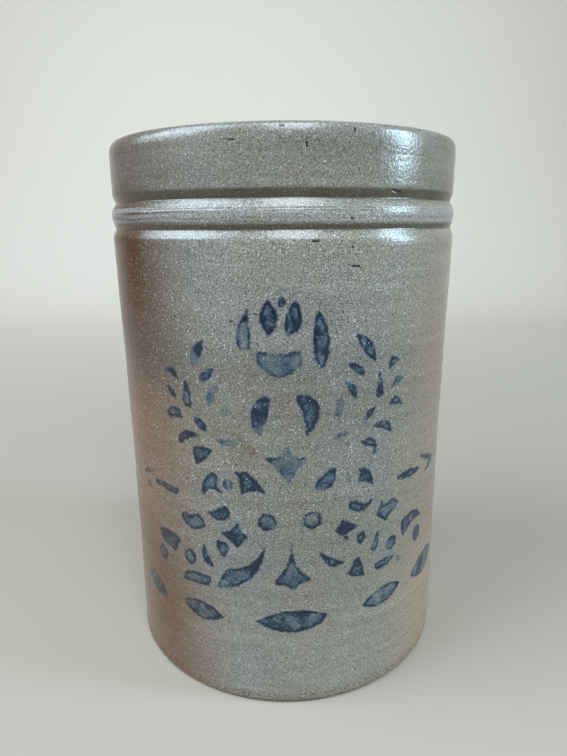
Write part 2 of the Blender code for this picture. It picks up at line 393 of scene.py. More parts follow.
MIDDLE_ROW = [
    (
        0.95,
        0.9,
        [(-15.0, 85.5, -0.9), (-7.5, 86.0, 0.6), (-13.5, 93.0, 0.0), (-17.0, 92.5, -0.4), (-15.5, 90.0, 0.0)],
    ),
    (0.55, 0.4, oval(-20.0, 88.0, 1.5, 2.0)),
    (
        (0.95, 1.0, 0.5, 0.5, 0.5),
        0.7,
        [
            (-30.0, 82.5, -2.0),
            (-22.5, 84.5, -0.4),
            (-24.5, 87.0, 0.2),
            (-24.0, 91.0, 0.5),
            (-27.0, 90.5, 1.0),
        ],
    ),
    ((0.5, 0.95, 0.8), 0.6, [(9.5, 87.0, 0.3), (15.5, 87.5, 0.5), (17.0, 94.0, 1.3)]),
    (0.25, 0.1, oval(22.0, 89.0, 0.7, 0.8)),
    (
        (0.6, 0.95, 0.9, 0.85, 0.8),
        0.6,
        [(25.5, 87.5, -1.1), (32.0, 85.0, -0.2), (31.0, 88.0, 0.5), (29.0, 91.5, 0.4), (26.0, 92.0, -0.5)],
    ),
    (0.65, 1.0, [(-54.5, 80.5, 0.0), (-42.5, 79.5, 0.3), (-41.0, 81.5, 0.1), (-54.0, 82.0, 0.0)]),
    (0.9, 0.6, [(-64.0, 82.0, 0.6), (-55.5, 85.0, 0.6)]),
    (0.9, 0.5, [(-57.0, 82.5, 0.5), (-56.0, 85.0, 0.5)]),
    (0.7, 0.4, [(-58.5, 77.0, 0.6), (-62.0, 79.0, 0.6)]),
    (0.75, 1.0, [(43.0, 85.0, 1.2), (57.0, 84.5, 1.2)]),
    (0.95, 0.9, [(70.0, 85.0, 0.7), (58.0, 89.0, 0.7)]),
    (0.8, 0.6, [(63.0, 81.5, 0.9), (70.0, 85.0, 0.9)]),
]

BASKET_LEFT = [
    (0.4, 1.0, oval(-6.5, 75.0, 3.0, 3.0)),
    ((0.9, 0.5, 0.7), 0.8, [(-28.0, 76.0, 2.2), (-20.0, 76.0, 0.5), (-21.0, 79.5, -0.2)]),
    (
        (0.4, 0.4, 0.8, 0.6, 0.9, 0.9),
        0.7,
        [
            (-36.0, 68.0, 0.7),
            (-29.5, 70.5, 0.1),
            (-32.5, 74.5, -0.2),
            (-36.5, 72.5, 0.0),
            (-38.0, 73.5, 0.0),
            (-40.5, 72.0, 0.6),
        ],
    ),
    (0.85, 0.9, [(-17.0, 64.5, -0.2), (-13.5, 68.5, -0.8), (-17.0, 73.5, -0.9), (-23.0, 69.0, 0.0)]),
    (0.8, 0.8, [(-22.5, 60.0, 3.2), (-25.0, 65.5, 1.0)]),
    (0.85, 0.95, [(-44.5, 55.5, -0.4), (-41.5, 61.5, 1.4), (-54.0, 61.5, 0.3), (-51.5, 57.5, -0.5)]),
    (0.6, 1.0, oval(-37.0, 56.0, 2.5, 3.0)),
    (1.0, 0.7, oval(-52.5, 52.0, 2.5, 3.0)),
    (0.9, 0.9, [(-28.0, 54.5, 0.1), (-27.0, 55.5, -0.3), (-30.5, 62.5, 1.9)]),
    (0.5, 1.0, [(-41.0, 45.5, 0.0), (-29.0, 46.5, 0.0), (-28.0, 49.5, 0.5), (-38.5, 49.5, 0.4)]),
    ((0.5, 1.1, 0.6), 0.9, [(-25.0, 47.0, 4.8), (-7.5, 65.0, -2.6), (-21.0, 55.0, 0.5)]),
    (
        0.45,
        1.0,
        [
            (2.5, 49.0, 0.3),
            (4.5, 51.0, -0.1),
            (8.5, 52.5, -2.2),
            (2.0, 66.5, -1.6),
            (-3.5, 52.5, 0.0),
            (-3.5, 51.0, 0.0),
            (0.5, 50.5, 0.3),
        ],
    ),
]

BASKET_RIGHT = [
    (0.35, 1.0, oval(9.0, 75.5, 3.0, 3.0)),
    (0.85, 1.0, [(20.5, 68.0, 0.0), (26.0, 71.0, -0.3), (20.0, 74.0, -0.3), (17.5, 70.5, 0.2)]),
    (0.9, 0.3, oval(21.5, 67.0, 0.6, 0.7)),
    (0.6, 0.8, [(27.5, 63.5, 1.3), (28.0, 68.0, 2.0)]),
    (
        (0.5, 0.9, 0.7, 0.5),
        1.0,
        [(23.0, 78.0, 2.5), (31.5, 80.0, -1.5), (25.5, 80.0, 0.2), (24.0, 80.5, 1.0)],
    ),
    (
        0.5,
        0.9,
        [
            (38.0, 69.5, -0.2),
            (40.0, 72.0, 0.4),
            (44.0, 75.0, 0.3),
            (41.0, 77.5, -0.2),
            (37.5, 76.0, -0.2),
            (36.0, 78.0, -0.2),
            (34.0, 73.0, -0.2),
        ],
    ),
    (0.75, 0.6, [(33.5, 59.0, 0.9), (34.5, 66.0, -0.2), (32.0, 60.5, 0.3)]),
    (0.55, 1.0, oval(41.5, 59.5, 2.5, 2.5)),
    (0.7, 0.9, [(48.5, 60.0, -1.9), (60.5, 64.0, 3.0), (47.0, 66.0, 0.5)]),
    (0.8, 0.7, oval(58.0, 57.0, 2.5, 3.0)),
    (0.5, 0.8, [(35.0, 51.0, 1.0), (43.0, 53.5, 0.7), (34.0, 53.0, 0.3)]),
    (0.6, 0.6, [(47.0, 50.0, 0.7), (45.0, 52.5, 0.4)]),
    ((0.9, 0.7, 0.6), 0.8, [(12.0, 62.5, 0.3), (16.0, 56.5, 0.2), (20.5, 57.5, -0.3)]),
    (
        (0.6, 1.1, 1.0, 1.0),
        0.9,
        [(22.5, 52.5, 0.5), (29.0, 50.5, 0.0), (27.0, 57.5, 0.2), (25.0, 57.0, -0.4)],
    ),
]

LENSES = [
    (1.0, 0.8, [(-67.5, 37.5, 3.6), (-52.0, 32.5, 3.8)]),
    (0.75, 1.0, [(-41.5, 36.0, 3.9), (-24.0, 34.5, 3.1)]),
    ((0.8, 0.9, 0.75), 1.0, [(-10.5, 35.0, 2.8), (11.0, 33.5, 0.5), (14.5, 37.5, 3.6)]),
    (0.55, 0.8, [(29.0, 37.5, 3.6), (47.0, 40.5, 3.1)]),
    (0.8, 0.7, [(55.0, 39.5, 4.4), (77.0, 42.0, 4.4)]),
]

STENCIL = FLOWER + WREATH_LEFT + WREATH_RIGHT + MIDDLE_ROW + BASKET_LEFT + BASKET_RIGHT + LENSES


class Socket:
    """A value inside a material. Arithmetic on it adds Math nodes to that material."""

    def __init__(self, finish, socket):
        self.finish = finish
        self.socket = socket

    def math(self, operation, *values):
        return self.finish.node("ShaderNodeMath", {"operation": operation}, values)

    def __add__(self, other):
        return self.math("ADD", self, other)

    def __radd__(self, other):
        return self.math("ADD", other, self)

    def __sub__(self, other):
        return self.math("SUBTRACT", self, other)

    def __rsub__(self, other):
        return self.math("SUBTRACT", other, self)

    def __mul__(self, other):
        return self.math("MULTIPLY", self, other)

    def __rmul__(self, other):
        return self.math("MULTIPLY", other, self)

    def __truediv__(self, other):
        return self.math("DIVIDE", self, other)

    def most(self, other):
        return self.math("MAXIMUM", self, other)

    def least(self, other):
        return self.math("MINIMUM", self, other)

    def ramp(self, low, high):
        """A soft step: 0 at low and 1 at high. It falls where low is over high."""
        settings = {"interpolation_type": "SMOOTHSTEP"}
        return self.finish.node("ShaderNodeMapRange", settings, {0: self, 1: low, 2: high})


class Finish:
    """A material, with its shader and one method that adds any node."""

    def __init__(self, name):
        self.material = bpy.data.materials.new(name)
        self.material.use_nodes = True
        self.tree = self.material.node_tree
        self.shader = self.tree.nodes["Principled BSDF"]

    def node(self, kind, settings=None, inputs=(), output=0):
        made = self.tree.nodes.new(kind)
        for key, value in (settings or {}).items():
            setattr(made, key, value)
        pairs = inputs.items() if isinstance(inputs, dict) else enumerate(inputs)
        for key, value in pairs:
            self.feed(made.inputs[key], value)
        return Socket(self, made.outputs[output])

    def feed(self, socket, value):
        if isinstance(value, Socket):
            self.tree.links.new(value.socket, socket)
        elif socket.type == "RGBA":
            socket.default_value = (*value, 1.0)
        else:
            socket.default_value = value

    def surface(self, **values):
        """Feeds the shader's sockets. Underscores in a name stand for spaces."""
        for key, value in values.items():
            self.feed(self.shader.inputs[key.replace("_", " ")], value)
        return self.material

    def place(self):
        return self.node("ShaderNodeTexCoord", output="Object")

    def attribute(self, name):
        return self.node("ShaderNodeAttribute", {"attribute_name": name}, output="Fac")

    def stretched(self, place, scale):
        return self.node("ShaderNodeMapping", None, {"Vector": place, "Scale": scale})

    def noise(self, place, size, detail=2.0, roughness=0.5):
        """Soft noise from 0 to 1 with features about size millimetres across."""
        inputs = {"Vector": place, "Scale": 1 / (size * MM), "Detail": detail, "Roughness": roughness}
        return self.node("ShaderNodeTexNoise", None, inputs)

    def cells(self, place, size, output="Distance"):
        """Scattered cells about size millimetres apart: the distance to the nearest centre, or its colour."""
        inputs = {"Vector": place, "Scale": 1 / (size * MM)}
        return self.node("ShaderNodeTexVoronoi", None, inputs, output)

    def mix(self, factor, first, second, blend="MIX"):
        settings = {"data_type": "RGBA", "blend_type": blend}
        return self.node("ShaderNodeMix", settings, {0: factor, 6: first, 7: second}, 2)

    def shaded(self, colour, value):
        """The colour, brighter or darker by a value."""
        grey = self.node("ShaderNodeCombineColor", None, (value, value, value))
        return self.mix(1.0, colour, grey, "MULTIPLY")

    def vector(self, operation, *values, output="Vector"):
        return self.node("ShaderNodeVectorMath", {"operation": operation}, values, output)

    def bump(self, height, depth):
        """A normal from a height of 0 to 1 that stands depth millimetres proud."""
        return self.node("ShaderNodeBump", None, {"Height": height, "Distance": depth * MM, "Strength": 1.0})

    def stroke(self, place, flaw):
        """How far a place on the unrolled wall is inside a straight stroke: 1 along it and 0 clear of it."""
        start_across, start_height, end_across, end_height, half_width = flaw
        run = Vector((end_across - start_across, end_height - start_height, 0))
        offset = self.vector("SUBTRACT", place, (start_across, start_height, 0))
        share = self.vector("DOT_PRODUCT", offset, run / run.length_squared, output="Value").most(0).least(1)
        nearest = self.node("ShaderNodeVectorMath", {"operation": "SCALE"}, {"Vector": run, "Scale": share})
        reach = self.vector("DISTANCE", offset, nearest, output="Value")
        return reach.ramp(STROKE_FADE[0] * half_width, STROKE_FADE[1] * half_width)


def line(start, end, count):
    """Points evenly along a straight stretch, after its start."""
    share = np.arange(1, count + 1)[:, None] / count
    return np.array(start) + (np.array(end) - np.array(start)) * share


def rounded(centre, radii, start, end, count):
    """Points along an ellipse from the angle start to end in degrees, after its start."""
    angle = np.radians(start + (end - start) * np.arange(1, count + 1) / count)
    return np.stack([centre[0] + radii[0] * np.cos(angle), centre[1] + radii[1] * np.sin(angle)], axis=1)


def wall_radius(height):
    """Outer radius between foot and shoulder: a straight taper, drawn in at the waist by half a sine."""
    share = height / SHOULDER_HEIGHT
    return FOOT_RADIUS + (SHOULDER_RADIUS - FOOT_RADIUS) * share - WAIST_DRAW * np.sin(np.pi * share)


def groove(start, end, overhang, depth, count=8):
    """A tooled groove between two points: an overhang down to a sharp bottom, then a slope out."""
    share = np.arange(1, count + 1) / count
    bottom = (min(start[0], end[0]) - depth, start[1] - overhang)
    upper = start[0] + (bottom[0] - start[0]) * share**GROOVE_EASE
    lower = end[0] + (bottom[0] - end[0]) * (1 - share) ** GROOVE_EASE
    heights = [start[1] + (bottom[1] - start[1]) * share, bottom[1] + (end[1] - bottom[1]) * share]
    return np.stack([np.concatenate([upper, lower]), np.concatenate(heights)], axis=1)


def crowned_band(start, end, count=24):
    """The raised band: a straight stretch with a low crown, and a fine bell-shaped tool line near its top."""
    share = np.arange(1, count + 1)[:, None] / count
    crown = BAND_CROWN * np.sin(np.pi * share**BAND_CROWN_LEAN)
    tool_line = BAND_LINE_DEPTH * np.exp(-(((share - BAND_LINE_SHARE) / BAND_LINE_SPREAD) ** 2))
    return np.array(start) + (np.array(end) - np.array(start)) * share + (crown - tool_line) * (1.0, 0.0)


def rim_round(count=12):
    """The rim's outer round from its crest to the collar: an ellipse whose powers make it squarer."""
    angle = np.pi / 2 * (1 - np.arange(1, count + 1) / count)
    across = np.clip(np.cos(angle), 0, 1) ** (2 / RIM_SQUARENESS)
    up = np.clip(np.sin(angle), 0, 1) ** (2 / RIM_SQUARENESS)
    low = JAR_HEIGHT - RIM_OUTER_ROUND
    return np.stack([CREST_RADIUS + RIM_CREST_INSET * across, low + RIM_OUTER_ROUND * up], axis=1)


def inside_profile():
    """Radius and height from the middle of the floor up the inside to the rim's crest."""
    fillet_top = FLOOR_THICKNESS + FLOOR_FILLET
    wall_top = SEAT_HEIGHT - LEDGE_THICKNESS - LEDGE_UNDERSIDE
    floor_radius = wall_radius(fillet_top) - WALL_THICKNESS - FLOOR_FILLET
    heights = np.linspace(fillet_top, wall_top, 11)[1:]
    wall = np.stack([wall_radius(heights) - WALL_THICKNESS, heights], axis=1)
    share = np.arange(1, 11) / 10
    eased = (1 - np.cos(np.pi * share)) / 2
    under_radius = wall[-1, 0] + (THROAT_RADIUS - wall[-1, 0]) * eased
    under = np.stack([under_radius, wall_top + LEDGE_UNDERSIDE * share], axis=1)
    edge = (THROAT_RADIUS + LEDGE_EDGE_ROUND, SEAT_HEIGHT - LEDGE_EDGE_ROUND)
    mouth = SEAT_RADIUS + RIM_FLARE
    lip = (CREST_RADIUS, JAR_HEIGHT - RIM_INNER_ROUND)
    return np.concatenate([
        [(0.0, FLOOR_THICKNESS)],
        line((0.0, FLOOR_THICKNESS), (floor_radius, FLOOR_THICKNESS), 5),
        rounded((floor_radius, fillet_top), (FLOOR_FILLET, FLOOR_FILLET), -90, 0, 6),
        wall,
        under,
        line((THROAT_RADIUS, wall_top + LEDGE_UNDERSIDE), (THROAT_RADIUS, edge[1]), 2),
        rounded(edge, (LEDGE_EDGE_ROUND, LEDGE_EDGE_ROUND), 180, 90, 4),
        line((edge[0], SEAT_HEIGHT), (SEAT_RADIUS, SEAT_HEIGHT), 3),
        line((SEAT_RADIUS, SEAT_HEIGHT), (mouth, lip[1]), 4),
        rounded(lip, (CREST_RADIUS - mouth, RIM_INNER_ROUND), 180, 90, 8),
    ])


def outside_profile():
    """Radius and height from the rim's crest down the outside to the middle of the base."""
    collar_end, band_start = (COLLAR_RADIUS, COLLAR_LOW), (BAND_RADIUS, BAND_TOP)
    band_end, shoulder = (BAND_RADIUS, BAND_LOW), (SHOULDER_RADIUS, SHOULDER_HEIGHT)
    upper = np.arange(SHOULDER_HEIGHT, STENCIL_HIGH, -UPPER_STEP)[1:]
    fine = np.arange(STENCIL_HIGH, STENCIL_LOW, -FINE_STEP)
    lower = np.linspace(STENCIL_LOW, HEEL_ROUND, 11)
    heights = np.concatenate([upper, fine, lower])
    heel_radius = wall_radius(HEEL_ROUND) - HEEL_ROUND
    return np.concatenate([
        rim_round(),
        line((COLLAR_RADIUS, JAR_HEIGHT - RIM_OUTER_ROUND), collar_end, 11),
        groove(collar_end, band_start, UPPER_GROOVE_OVERHANG, UPPER_GROOVE_DEPTH),
        crowned_band(band_start, band_end),
        groove(band_end, shoulder, LOWER_GROOVE_OVERHANG, LOWER_GROOVE_DEPTH),
        np.stack([wall_radius(heights), heights], axis=1),
        rounded((heel_radius, HEEL_ROUND), (HEEL_ROUND, HEEL_ROUND), 0, -90, 6),
        line((heel_radius, 0.0), (0.0, 0.0), BASE_ROWS),
    ])


def front_angles():
    """Angles round the jar from the back, close together over the decorated front."""
    front_count = round(2 * FINE_HALF_ANGLE * STENCIL_RADIUS / FINE_STEP)
    back_count = round((math.tau - 2 * FINE_HALF_ANGLE) * STENCIL_RADIUS / BACK_STEP)
    front = np.linspace(-FINE_HALF_ANGLE, FINE_HALF_ANGLE, front_count + 1)
    back = np.linspace(FINE_HALF_ANGLE, math.tau - FINE_HALF_ANGLE, back_count + 1)[1:-1]
    return np.concatenate([front, back])


def turned_mesh(name, profile, angles, finish, ring=False, swell=0.0, lift=0.0):
    """Each profile point goes round the axis: x is r sin a and y is -r cos a, where r is radius plus swell.

    Its height rises by lift. A profile that starts and ends on the axis closes at two poles, and a ring's
    last row joins its first. Returns the object with the angle and profile row of each of its points.
    """
    shape = (len(profile), len(angles))
    radius, height = profile[:, :1] + swell, profile[:, 1:] + lift
    radius, height, angle = np.broadcast_arrays(radius, height, angles[None, :])
    points = np.stack([radius * np.sin(angle), -radius * np.cos(angle), height], axis=-1).reshape(-1, 3)
    index = np.arange(len(points)).reshape(shape)
    if not ring:
        index[0], index[-1] = index[0, 0], index[-1, 0]
    used, index = np.unique(index, return_inverse=True)
    index = index.reshape(shape)
    beside = np.roll(index, -1, axis=1)
    if ring:
        below, below_beside = np.roll(index, -1, axis=0), np.roll(beside, -1, axis=0)
        faces = np.stack([index, below, below_beside, beside], axis=-1).reshape(-1, 4).tolist()
    else:
        faces = np.stack([index[1:-2], index[2:-1], beside[2:-1], beside[1:-2]], axis=-1)
        faces = faces.reshape(-1, 4).tolist()
        faces += np.stack([index[0], index[1], beside[1]], axis=-1).tolist()
        faces += np.stack([index[-2], index[-1], beside[-2]], axis=-1).tolist()
    mesh = bpy.data.meshes.new(name)
    mesh.from_pydata(points[used] * MM, [], faces)
    mesh.shade_smooth()
    mesh.materials.append(finish)
    made = bpy.data.objects.new(name, mesh)
    bpy.context.scene.collection.objects.link(made)
    return made, angle.ravel()[used], used // len(angles)


def keep_values(made, name, values):
    made.data.attributes.new(name, "FLOAT", "POINT").data.foreach_set("value", values.astype(np.float32))


def outline(corners, steps=10):
    """A mark's outline: each edge is a parabola whose middle stands off its chord by the edge's bow."""
    corners = np.array(corners)
    start = corners[:, None, :2]
    run = np.roll(corners[:, :2], -1, axis=0)[:, None] - start
    right = np.stack([run[..., 1], -run[..., 0]], axis=-1) / np.linalg.norm(run, axis=-1, keepdims=True)
    share = (np.arange(steps) / steps)[None, :, None]
    bow = 4 * corners[:, None, 2:] * share * (1 - share)
    return (start + run * share + right * bow).reshape(-1, 2)


def depth_inside(points, loop):
    """Distance of each point to the loop's nearest edge, positive inside the loop and negative outside."""
    start, end = loop, np.roll(loop, -1, axis=0)
    edge = end - start
    offset = points[:, None] - start
    share = np.clip((offset * edge).sum(-1) / (edge**2).sum(-1), 0, 1)
    distance = np.linalg.norm(offset - share[..., None] * edge, axis=-1).min(axis=1)
    x, y = points[:, :1], points[:, 1:]
    spans = (start[:, 1] > y) != (end[:, 1] > y)
    rise = np.where(edge[:, 1] == 0, 1, edge[:, 1])
    crossed = spans & (x < start[:, 0] + edge[:, 0] * (y - start[:, 1]) / rise)
    return np.where(crossed.sum(axis=1) % 2 == 1, distance, -distance)


def stencil_values(across, height, outside):
    """Depth inside the nearest mark, and that mark's body and rim tones, at each point of the wall."""
    depth = np.full(len(across), -STENCIL_MARGIN)
    body = np.zeros(len(across))
    rim = np.zeros(len(across))
    for body_tone, rim_tone, corners in STENCIL:
        loop = outline(corners)
        low, high = loop.min(axis=0) - STENCIL_MARGIN, loop.max(axis=0) + STENCIL_MARGIN
        near = outside & (across > low[0]) & (across < high[0]) & (height > low[1]) & (height < high[1])
        near = np.flatnonzero(near)
        points = np.stack([across[near], height[near]], axis=1)
        inside = depth_inside(points, loop)
        better = inside > depth[near]
        near, points = near[better], points[better]
        places = np.array(corners)[:, :2]
        tones = np.broadcast_to(body_tone, len(places))
        weight = 1 / (((points[:, None] - places) ** 2).sum(-1) + TONE_SOFTNESS)
        depth[near] = inside[better]
        body[near] = (weight * tones).sum(axis=1) / weight.sum(axis=1)
        rim[near] = rim_tone
    return depth, body, rim


def throwing_marks(angle, height):
    """How far the thrown wall strays from true: spiral rings, a slow wander, out of round and a lean."""
    spiral = SPIRAL_DEPTH * np.sin(math.tau * height / SPIRAL_PITCH + angle)
    wander = WANDER_DEPTH * np.sin(math.tau * height / WANDER_LENGTH + 2 * angle + 0.7)
    out_of_round = OVAL_DEPTH * np.cos(2 * angle + 0.6) + TRILOBE_DEPTH * np.cos(3 * angle + 2.1)
    lean = (LEAN_AT_FOOT + (LEAN_AT_RIM - LEAN_AT_FOOT) * height / JAR_HEIGHT) * np.sin(angle)
    return spiral + wander + out_of_round + lean


def salt_glaze():
    """Salt-glazed stoneware: an orange-peel grey glaze with a cobalt stencil, brown slip and a bare foot."""
    glaze = Finish("salt_glazed_stoneware")
    place = glaze.place()
    across = glaze.node("ShaderNodeSeparateXYZ", None, (place,), "X")
    up = glaze.node("ShaderNodeSeparateXYZ", None, (place,), "Z")
    clouds = glaze.noise(place, CLOUD_SIZE, 3.0)
    patches = glaze.noise(place, PATCH_SIZE, 3.0, 0.6)
    streaks = glaze.noise(glaze.stretched(place, STREAK_SQUASH), STREAK_SIZE, 3.0, 0.6)
    tool_lines = glaze.noise(glaze.stretched(place, TOOL_LINE_SQUASH), TOOL_LINE_SIZE, 2.0, 0.6)
    grain = glaze.noise(place, GRAIN_SIZE, 2.0, 0.6)
    peel = glaze.noise(place, PEEL_SIZE, 1.0)
    hollow = glaze.attribute("hollow")
    heel = up.ramp(*HEEL_STRIP)

    colour, scorched = fired_colour(glaze, across, up, clouds, patches)
    colour = glaze.shaded(colour, height_tone(up) * (0.70 + 0.60 * streaks))
    colour = glaze.mix(heel, colour, glaze.vector("MULTIPLY", colour, HEEL_TINT))
    on_band = up.ramp((BAND_LOW + BAND_FADE[0]) * MM, (BAND_LOW + BAND_FADE[1]) * MM)
    on_band = on_band * up.ramp((BAND_TOP - BAND_FADE[0]) * MM, (BAND_TOP - BAND_FADE[1]) * MM)
    # Painted highlight: light grey streaks along the band's tool lines stand in for reflected windows
    colour = glaze.mix(on_band * tool_lines.ramp(0.30, 0.65) * 0.45, colour, BAND_PAINTED_HIGHLIGHT)
    # Dirt in the grooves, darkened further as painted shade under their overhangs
    colour = glaze.mix(hollow * (0.60 + 0.5 * patches), colour, GROOVE_DIRT_AND_SHADE)

    unrolled = glaze.node("ShaderNodeCombineXYZ", None, (glaze.attribute("around"), up / MM, 0.0))
    shake = glaze.node("ShaderNodeCombineXYZ", None, (peel - 0.5, grain - 0.5, 0.0))
    jagged = glaze.vector("ADD", unrolled, shake)
    for stain in OCHRE_STAINS:
        stained = glaze.stroke(unrolled, stain) * patches.ramp(0.3, 0.7)
        colour = glaze.mix(stained * 0.6, colour, OCHRE)

    lively = (0.60 + 0.40 * up.ramp(*LIVELY_RISE)) * (1.0 - 0.6 * across.ramp(*LIVELY_RIGHT))
    lively = lively * (1.0 - 0.5 * scorched) * (1.0 - 0.7 * hollow)
    lively = lively * (1.0 - 0.35 * up.ramp(*LIVELY_COLLAR))
    # Painted glints: bright flecks that stand in for highlights caught by the orange peel
    painted_glint = glaze.noise(place, PAINTED_GLINT_SIZE, 1.0).ramp(0.60, 0.78)
    colour = glaze.mix(painted_glint * lively * 0.8, colour, PAINTED_GLINT)
    colour = cobalt(glaze, place, colour, scorched)
    grain_strength = BASE_GRAIN + LIVELY_GRAIN * lively + HEEL_GRAIN * heel
    colour = glaze.shaded(colour, (1.0 + (grain - 0.5) * grain_strength).most(0.2))
    # White specks are painted glints: highlights on tiny bumps of the glaze, drawn as colour
    glint_specks = specks(glaze, place, WHITE_SPACING, WHITE_SIZE, WHITE_CHANCE)
    colour = glaze.mix(glint_specks * lively, colour, PAINTED_GLINT_SPECK)
    dark = specks(glaze, place, DARK_SPACING, DARK_SIZE, DARK_CHANCE)
    colour = glaze.mix(dark, colour, DARK_SPECK)
    colour, pitted = flawed(glaze, jagged, colour)

    past_crest = glaze.attribute("past_crest") + (patches - 0.5) * SLIP_WANDER
    slip = glaze.mix(clouds.ramp(0.3, 0.7), SLIP_DARK, SLIP_LIGHT)
    colour = glaze.mix(past_crest.ramp(*SLIP_EDGE), colour, glaze.shaded(slip, 0.7 + 0.6 * patches))
    bare = (glaze.attribute("past_heel") + (patches - 0.5) * BARE_WANDER).ramp(*BARE_EDGE)
    colour = glaze.mix(bare, colour, glaze.mix(patches, BARE_LIGHT, BARE_DARK))

    rough = 0.16 + 0.14 * patches + 0.45 * bare
    relief = peel + grain * 0.25 + tool_lines * (0.5 + 2.0 * on_band) - pitted * 2.0
    glaze.surface(Specular_IOR_Level=0.6)
    return glaze.surface(Base_Color=colour, Roughness=rough, Normal=glaze.bump(relief, GLAZE_RELIEF))


def fired_colour(glaze, across, up, clouds, patches):
    """The glaze as the kiln left it, grey with a scorch on the left and a tan flush on the right, which also
    holds a painted warm reflection of the floor.

    Returns its colour, and how far it is scorched.
    """
    uneven = 0.65 + 0.7 * clouds
    colour = glaze.mix(clouds.ramp(0.35, 0.65), GLAZE_GREY, GLAZE_BUFF)
    colour = glaze.mix(patches.ramp(0.50, 0.75) * 0.5, colour, GLAZE_PALE)
    scorched = (across - LEFT_FLUSH_SHIFT * up.ramp(*LOW_WALL)).ramp(*LEFT_FLUSH) * uneven
    scorched = (scorched * (1.0 - 0.4 * up.ramp(*COLLAR_RISE))).least(1.0)
    scorch = glaze.mix(up.ramp(*SCORCH_TURN), SCORCH_DARK, SCORCH_TAN)
    scorch = glaze.mix(up.ramp(*SCORCH_FOOT_TURN), scorch, SCORCH_FOOT)
    colour = glaze.mix(scorched, colour, scorch)
    # Tan on the right: partly a flush and partly a painted warm reflection of the floor, strongest low down
    flushed_and_reflected = across.ramp(*RIGHT_FLUSH_AND_REFLECTION) * (0.3 + 0.7 * up.ramp(*RIGHT_FLUSH_AND_REFLECTION_FALL)) * uneven
    return glaze.mix(flushed_and_reflected.least(1.0) * 0.95, colour, FLUSH_AND_REFLECTION_TAN), scorched


def height_tone(up):
    """How light the glaze is by height: lightest at the shoulder and the foot, darkest over the waist."""
    tone = 0.86 + 0.22 * up.ramp(*SHOULDER_LIGHT) - 0.18 * up.ramp(*NECK_SHADE) + 0.20 * up.ramp(*LOW_WALL)
    return tone - 0.08 * up.ramp(*DIP_LOW) * up.ramp(*DIP_HIGH)


def specks(glaze, place, spacing, size, chance):
    """Round specks in some of the cells of a scatter: up to 1 on a speck and 0 clear of it."""
    luck = glaze.node("ShaderNodeSeparateColor", None, (glaze.cells(place, spacing, "Color"),))
    return glaze.cells(place, spacing).ramp(*size) * luck.ramp(*chance)


def flawed(glaze, place, colour):
    """The colour with pits, a notch with a pale edge, and a scratch. Also returns where it is pitted."""
    pitted = glaze.stroke(place, NOTCH)
    for pit in PITS:
        pitted = pitted.most(glaze.stroke(place, pit))
    colour = glaze.mix(pitted, colour, PIT_BLACK)
    colour = glaze.mix(glaze.stroke(place, NOTCH_EDGE) * 0.5, colour, CHIP_PALE)
    return glaze.mix(glaze.stroke(place, SCRATCH) * 0.6, colour, SCRATCH_PALE), pitted


def cobalt(glaze, place, colour, scorched):
    """The stencil over a glaze colour: a patchy blue wash, dark where it pooled at a rim, and a halo.

    The scorch turns it a dull grey.
    """
    blotch = glaze.noise(place, BLOTCH_SIZE, 3.0, 0.6).ramp(0.30, 0.70)
    mottle = glaze.noise(place, MOTTLE_SIZE, 3.0, 0.65)
    speckle = glaze.noise(place, SPECKLE_SIZE, 2.0, 0.6).ramp(0.3, 0.7)
    pigment = glaze.attribute("pigment")
    broken = glaze.noise(place, BROKEN_SIZE, 2.0).ramp(0.32, 0.62)
    depth = glaze.attribute("stencil") + (mottle * EDGE_RAG - EDGE_SHIFT)
    cover = depth.ramp(*COVER_EDGE)
    body = pigment * (0.15 + 1.1 * blotch + 0.6 * speckle)
    rim = depth.ramp(*POOL_EDGE) * glaze.attribute("pooled") * (0.10 + 0.7 * blotch + 0.6 * broken)
    strength = body + rim * 0.9
    halo = glaze.attribute("stencil").ramp(*HALO_EDGE) * pigment * (1.0 - SCORCHED_HALO * scorched)
    wash = glaze.mix(scorched, COBALT_WASH, SCORCHED_WASH)
    deep = glaze.mix(scorched, COBALT_DEEP, SCORCHED_DEEP)
    colour = glaze.mix(halo * 0.35, colour, COBALT_HALO)
    colour = glaze.mix((0.12 + 1.1 * strength).least(1.0) * cover, colour, wash)
    return glaze.mix(strength.ramp(*DEEP_TURN) * cover, colour, deep)


def dull_tin():
    """Stamped tinplate: soft grey metal with a faint crystal spangle and rust freckles."""
    tin = Finish("dull_tinplate")
    place = tin.place()
    spangle = tin.cells(place, SPANGLE_SPACING, "Color")
    cloud = tin.noise(place, TIN_CLOUD_SIZE, 4.0, 0.6)
    freckle = tin.noise(place, FRECKLE_SIZE, 4.0, 0.7)
    rust = freckle.ramp(0.62, 0.72) * cloud.ramp(0.45, 0.65)
    tone = tin.node("ShaderNodeSeparateColor", None, (spangle,))
    colour = tin.shaded(TIN_GREY, 0.78 + 0.05 * tone + 0.42 * cloud)
    colour = tin.mix(rust, colour, TIN_RUST)
    rough = 0.36 + 0.03 * tone + 0.18 * cloud + 0.3 * rust
    normal = tin.bump(tin.noise(place, TIN_SKIN_SIZE, 3.0), TIN_RELIEF)
    return tin.surface(Base_Color=colour, Metallic=1.0 - rust, Roughness=rough, Normal=normal)


def sealing_wax():
    """Poured sealing wax: dark red, with a satin skin, small dimples and dusty high spots."""
    wax = Finish("sealing_wax")
    place = wax.place()
    cloud = wax.noise(place, WAX_CLOUD_SIZE, 3.0)
    ripple = wax.noise(place, WAX_RIPPLE_SIZE, 2.0)
    dimples = wax.cells(place, DIMPLE_SPACING).ramp(0.25, 0.05)
    colour = wax.mix(cloud.ramp(0.3, 0.7), WAX_DARK, WAX_RED)
    colour = wax.mix(ripple.ramp(0.6, 0.8) * 0.25, colour, WAX_DUST)
    normal = wax.bump(ripple - dimples * 0.25, WAX_RELIEF)
    return wax.surface(Base_Color=colour, Roughness=0.28 + 0.25 * cloud, Normal=normal)


